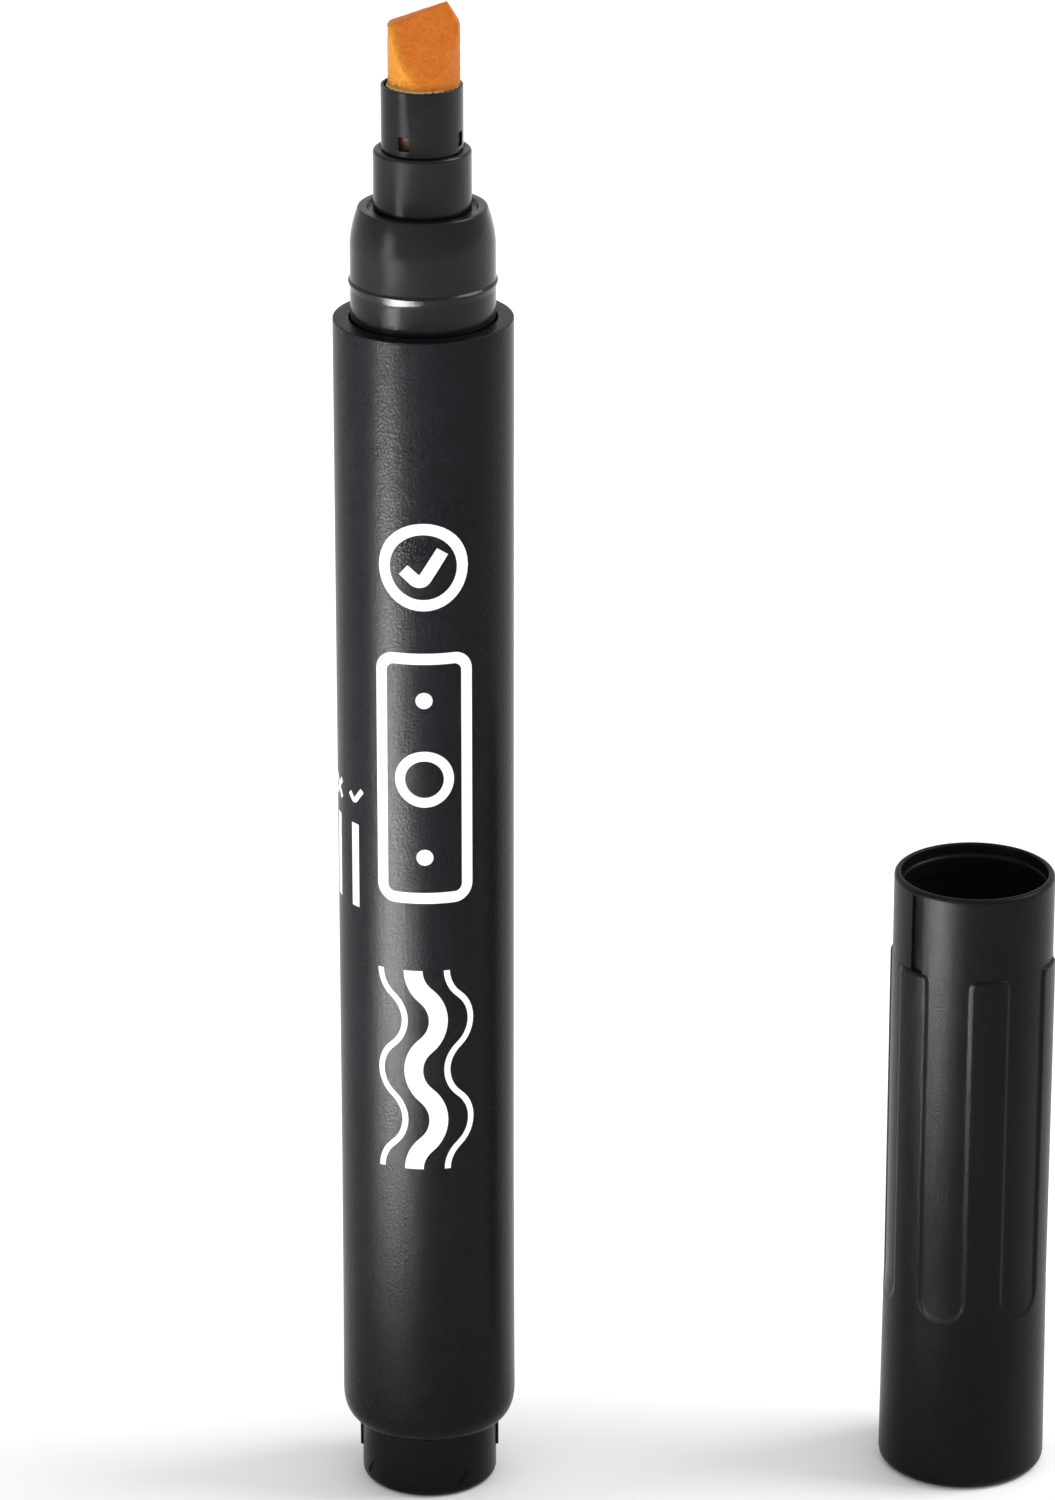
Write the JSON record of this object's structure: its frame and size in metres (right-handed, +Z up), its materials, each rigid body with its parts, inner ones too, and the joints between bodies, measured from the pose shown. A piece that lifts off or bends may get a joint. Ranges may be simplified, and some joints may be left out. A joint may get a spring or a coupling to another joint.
{
  "type": "counterfeit detector pen",
  "caption": "Felt marker for testing banknotes: slim tapered barrel, chisel nib in a stepped holder, press-on cap standing beside it.",
  "frame": {"origin": "middle of the pen's flat tail end, on the pen's axis, on the surface that the pen and cap stand on", "axes": "+Z up along the pen from tail to nib, +X towards the cap, -Y towards the side that shows in the picture"},
  "size_m": [0.0535, 0.0152, 0.1153],
  "materials": {
    "satin_black": "satin",
    "gloss_black": "polished",
    "grained_black": "fine grain",
    "amber_felt": "bonded fibre, soaked with ink",
    "ink_fibre": "loose fibre, soaked with ink",
    "clear_film": "thin film",
    "natural_liner": "waxy"
  },
  "bodies": {
    "pen": {"barrel": "satin_black", "tail_plug": "satin_black", "front_section": "gloss_black", "nib": "amber_felt", "reservoir_fibre": "ink_fibre", "reservoir_film": "clear_film"},
    "cap": {"cap_shell": "grained_black", "inner_cap": "natural_liner"}
  },
  "joints": [
    {"name": "cap_lift", "type": "slide", "parent": "pen", "child": "cap", "axis": [0, 0, 1], "range_m": [0, 0.12]}
  ]
}
